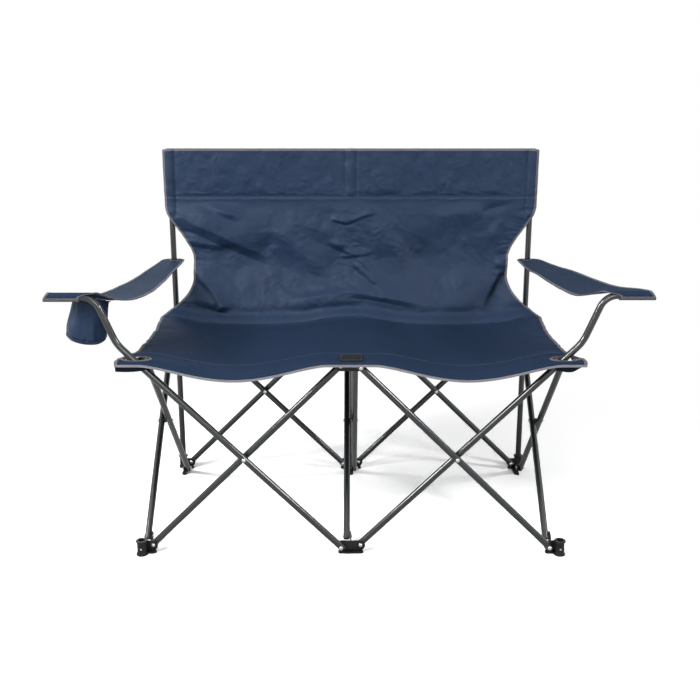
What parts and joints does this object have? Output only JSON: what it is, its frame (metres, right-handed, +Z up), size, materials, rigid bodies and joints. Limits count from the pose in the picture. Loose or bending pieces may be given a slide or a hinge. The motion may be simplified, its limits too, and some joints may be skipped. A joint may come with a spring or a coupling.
{
  "type": "folding camping loveseat",
  "caption": "Wide folding camping chair for two: navy polyester seat and back on a dark steel scissor frame, with sling armrests and a hanging cup holder.",
  "frame": {"origin": "on the floor, midway between the two outer posts across and midway between the front and rear feet in depth", "axes": "+X to the sitter's left, +Y from the front edge of the seat towards the back, +Z up"},
  "size_m": [1.3, 0.5648, 0.8835],
  "materials": {
    "enamel": "gunmetal enamel, glossy",
    "plastic": "moulded black, fine grain",
    "zinc": "bright zinc plating",
    "cloth": "navy woven polyester with grey binding"
  },
  "bodies": {
    "rear_centre_base": {"rear_centre_foot": "plastic", "rear_centre_foot_rivet_left": "zinc", "rear_centre_foot_rivet_right": "zinc", "rear_centre_foot_rivet_side": "zinc", "rear_centre_post": "enamel", "rear_centre_post_cap": "plastic", "seat_panel": "cloth", "back_panel": "cloth"},
    "side_centre_forward": {"side_centre_forward_leg": "enamel", "side_centre_crossing_rivet": "zinc"},
    "side_centre_backward": {"side_centre_backward_leg": "enamel"},
    "front_centre_base": {"front_centre_foot": "plastic", "front_centre_foot_rivet_left": "zinc", "front_centre_foot_rivet_right": "zinc", "front_centre_foot_rivet_side": "zinc"},
    "rear_centre_slide": {"rear_centre_collar": "plastic"},
    "front_centre_top": {"front_centre_hub": "plastic"},
    "rear_left_rising": {"rear_left_rising_leg": "enamel", "rear_left_crossing_rivet": "zinc"},
    "rear_left_crossing": {"rear_left_crossing_leg": "enamel"},
    "rear_left_base": {"rear_left_foot": "plastic", "rear_left_foot_rivet_cross": "zinc", "rear_left_foot_rivet_side": "zinc", "rear_left_post": "enamel", "rear_left_post_cap": "plastic"},
    "rear_left_slide": {"rear_left_collar": "plastic"},
    "side_left_forward": {"side_left_forward_leg": "enamel", "side_left_crossing_rivet": "zinc"},
    "side_left_backward": {"side_left_backward_leg": "enamel"},
    "front_left_base": {"front_left_foot": "plastic", "front_left_foot_rivet_cross": "zinc", "front_left_foot_rivet_side": "zinc"},
    "front_left_top": {"front_left_hub": "plastic"},
    "front_left_arm": {"front_left_rising_leg": "enamel", "front_left_crossing_rivet": "zinc", "armrest_left": "cloth", "cup_holder": "cloth"},
    "front_left_crossing": {"front_left_crossing_leg": "enamel"},
    "rear_right_rising": {"rear_right_rising_leg": "enamel", "rear_right_crossing_rivet": "zinc"},
    "rear_right_crossing": {"rear_right_crossing_leg": "enamel"},
    "rear_right_base": {"rear_right_foot": "plastic", "rear_right_foot_rivet_cross": "zinc", "rear_right_foot_rivet_side": "zinc", "rear_right_post": "enamel", "rear_right_post_cap": "plastic"},
    "rear_right_slide": {"rear_right_collar": "plastic"},
    "side_right_forward": {"side_right_forward_leg": "enamel", "side_right_crossing_rivet": "zinc"},
    "side_right_backward": {"side_right_backward_leg": "enamel"},
    "front_right_base": {"front_right_foot": "plastic", "front_right_foot_rivet_cross": "zinc", "front_right_foot_rivet_side": "zinc"},
    "front_right_top": {"front_right_hub": "plastic"},
    "front_right_arm": {"front_right_rising_leg": "enamel", "front_right_crossing_rivet": "zinc", "armrest_right": "cloth"},
    "front_right_crossing": {"front_right_crossing_leg": "enamel"}
  },
  "joints": [
    {"name": "frame_fold", "type": "hinge", "parent": "rear_centre_base", "child": "side_centre_forward", "pos_m": [0.0093, 0.21361, 0.019], "axis": [-1, 0, 0], "range_deg": [0, 41], "deforming": ["seat_panel", "back_panel", "armrest_left", "armrest_right"]},
    {"name": "side_centre_cross", "type": "hinge", "parent": "side_centre_forward", "child": "side_centre_backward", "pos_m": [0, 0, 0.22965], "axis": [-1, 0, 0], "range_deg": [-82, 0]},
    {"name": "front_centre_foot_pivot", "type": "hinge", "parent": "side_centre_backward", "child": "front_centre_base", "pos_m": [-0.0093, -0.21361, 0.019], "axis": [-1, 0, 0], "range_deg": [0, 41]},
    {"name": "rear_centre_collar_pivot", "type": "hinge", "parent": "side_centre_backward", "child": "rear_centre_slide", "pos_m": [-0.0093, 0.21361, 0.44029], "axis": [-1, 0, 0], "range_deg": [0, 41]},
    {"name": "front_centre_hub_pivot", "type": "hinge", "parent": "side_centre_forward", "child": "front_centre_top", "pos_m": [0.0093, -0.21361, 0.44029], "axis": [-1, 0, 0], "range_deg": [-41, 0]},
    {"name": "rear_left_inner_pivot", "type": "hinge", "parent": "rear_centre_base", "child": "rear_left_rising", "pos_m": [-0.022, 0.25031, 0.019], "axis": [0, 1, 0], "range_deg": [0, 41]},
    {"name": "rear_left_cross", "type": "hinge", "parent": "rear_left_rising", "child": "rear_left_crossing", "pos_m": [-0.23561, 0.25961, 0.22965], "axis": [0, 1, 0], "range_deg": [-82, 0]},
    {"name": "rear_left_foot_pivot", "type": "hinge", "parent": "rear_left_crossing", "child": "rear_left_base", "pos_m": [-0.44922, 0.26891, 0.019], "axis": [0, 1, 0], "range_deg": [0, 41]},
    {"name": "rear_left_collar_pivot", "type": "hinge", "parent": "rear_left_rising", "child": "rear_left_slide", "pos_m": [-0.44922, 0.25031, 0.44029], "axis": [0, 1, 0], "range_deg": [-41, 0]},
    {"name": "side_left_rear_pivot", "type": "hinge", "parent": "rear_left_base", "child": "side_left_forward", "pos_m": [-0.45192, 0.21361, 0.019], "axis": [-1, 0, 0], "range_deg": [0, 41]},
    {"name": "side_left_cross", "type": "hinge", "parent": "side_left_forward", "child": "side_left_backward", "pos_m": [-0.46122, 0, 0.22965], "axis": [-1, 0, 0], "range_deg": [-82, 0]},
    {"name": "front_left_foot_pivot", "type": "hinge", "parent": "side_left_backward", "child": "front_left_base", "pos_m": [-0.47052, -0.21361, 0.019], "axis": [-1, 0, 0], "range_deg": [0, 41]},
    {"name": "front_left_hub_pivot", "type": "hinge", "parent": "side_left_forward", "child": "front_left_top", "pos_m": [-0.45192, -0.21361, 0.44029], "axis": [-1, 0, 0], "range_deg": [-41, 0]},
    {"name": "front_left_inner_pivot", "type": "hinge", "parent": "front_centre_base", "child": "front_left_arm", "pos_m": [-0.022, -0.26891, 0.019], "axis": [0, 1, 0], "range_deg": [0, 41]},
    {"name": "front_left_cross", "type": "hinge", "parent": "front_left_arm", "child": "front_left_crossing", "pos_m": [-0.23561, -0.25961, 0.22965], "axis": [0, 1, 0], "range_deg": [-82, 0]},
    {"name": "rear_right_inner_pivot", "type": "hinge", "parent": "rear_centre_base", "child": "rear_right_rising", "pos_m": [0.022, 0.26891, 0.019], "axis": [0, -1, 0], "range_deg": [0, 41]},
    {"name": "rear_right_cross", "type": "hinge", "parent": "rear_right_rising", "child": "rear_right_crossing", "pos_m": [0.23561, 0.25961, 0.22965], "axis": [0, -1, 0], "range_deg": [-82, 0]},
    {"name": "rear_right_foot_pivot", "type": "hinge", "parent": "rear_right_crossing", "child": "rear_right_base", "pos_m": [0.44922, 0.25031, 0.019], "axis": [0, -1, 0], "range_deg": [0, 41]},
    {"name": "rear_right_collar_pivot", "type": "hinge", "parent": "rear_right_rising", "child": "rear_right_slide", "pos_m": [0.44922, 0.26891, 0.44029], "axis": [0, -1, 0], "range_deg": [-41, 0]},
    {"name": "side_right_rear_pivot", "type": "hinge", "parent": "rear_right_base", "child": "side_right_forward", "pos_m": [0.47052, 0.21361, 0.019], "axis": [-1, 0, 0], "range_deg": [0, 41]},
    {"name": "side_right_cross", "type": "hinge", "parent": "side_right_forward", "child": "side_right_backward", "pos_m": [0.46122, 0, 0.22965], "axis": [-1, 0, 0], "range_deg": [-82, 0]},
    {"name": "front_right_foot_pivot", "type": "hinge", "parent": "side_right_backward", "child": "front_right_base", "pos_m": [0.45192, -0.21361, 0.019], "axis": [-1, 0, 0], "range_deg": [0, 41]},
    {"name": "front_right_hub_pivot", "type": "hinge", "parent": "side_right_forward", "child": "front_right_top", "pos_m": [0.47052, -0.21361, 0.44029], "axis": [-1, 0, 0], "range_deg": [-41, 0]},
    {"name": "front_right_inner_pivot", "type": "hinge", "parent": "front_centre_base", "child": "front_right_arm", "pos_m": [0.022, -0.25031, 0.019], "axis": [0, -1, 0], "range_deg": [0, 41]},
    {"name": "front_right_cross", "type": "hinge", "parent": "front_right_arm", "child": "front_right_crossing", "pos_m": [0.23561, -0.25961, 0.22965], "axis": [0, -1, 0], "range_deg": [-82, 0]}
  ],
  "couplings": [
    {"joint": "side_centre_cross", "follows": "frame_fold", "ratio": -2},
    {"joint": "front_centre_foot_pivot", "follows": "frame_fold", "ratio": 1},
    {"joint": "rear_centre_collar_pivot", "follows": "frame_fold", "ratio": 1},
    {"joint": "front_centre_hub_pivot", "follows": "frame_fold", "ratio": -1},
    {"joint": "rear_left_inner_pivot", "follows": "frame_fold", "ratio": 1},
    {"joint": "rear_left_cross", "follows": "frame_fold", "ratio": -2},
    {"joint": "rear_left_foot_pivot", "follows": "frame_fold", "ratio": 1},
    {"joint": "rear_left_collar_pivot", "follows": "frame_fold", "ratio": -1},
    {"joint": "side_left_rear_pivot", "follows": "frame_fold", "ratio": 1},
    {"joint": "side_left_cross", "follows": "frame_fold", "ratio": -2},
    {"joint": "front_left_foot_pivot", "follows": "frame_fold", "ratio": 1},
    {"joint": "front_left_hub_pivot", "follows": "frame_fold", "ratio": -1},
    {"joint": "front_left_inner_pivot", "follows": "frame_fold", "ratio": 1},
    {"joint": "front_left_cross", "follows": "frame_fold", "ratio": -2},
    {"joint": "rear_right_inner_pivot", "follows": "frame_fold", "ratio": 1},
    {"joint": "rear_right_cross", "follows": "frame_fold", "ratio": -2},
    {"joint": "rear_right_foot_pivot", "follows": "frame_fold", "ratio": 1},
    {"joint": "rear_right_collar_pivot", "follows": "frame_fold", "ratio": -1},
    {"joint": "side_right_rear_pivot", "follows": "frame_fold", "ratio": 1},
    {"joint": "side_right_cross", "follows": "frame_fold", "ratio": -2},
    {"joint": "front_right_foot_pivot", "follows": "frame_fold", "ratio": 1},
    {"joint": "front_right_hub_pivot", "follows": "frame_fold", "ratio": -1},
    {"joint": "front_right_inner_pivot", "follows": "frame_fold", "ratio": 1},
    {"joint": "front_right_cross", "follows": "frame_fold", "ratio": -2}
  ]
}
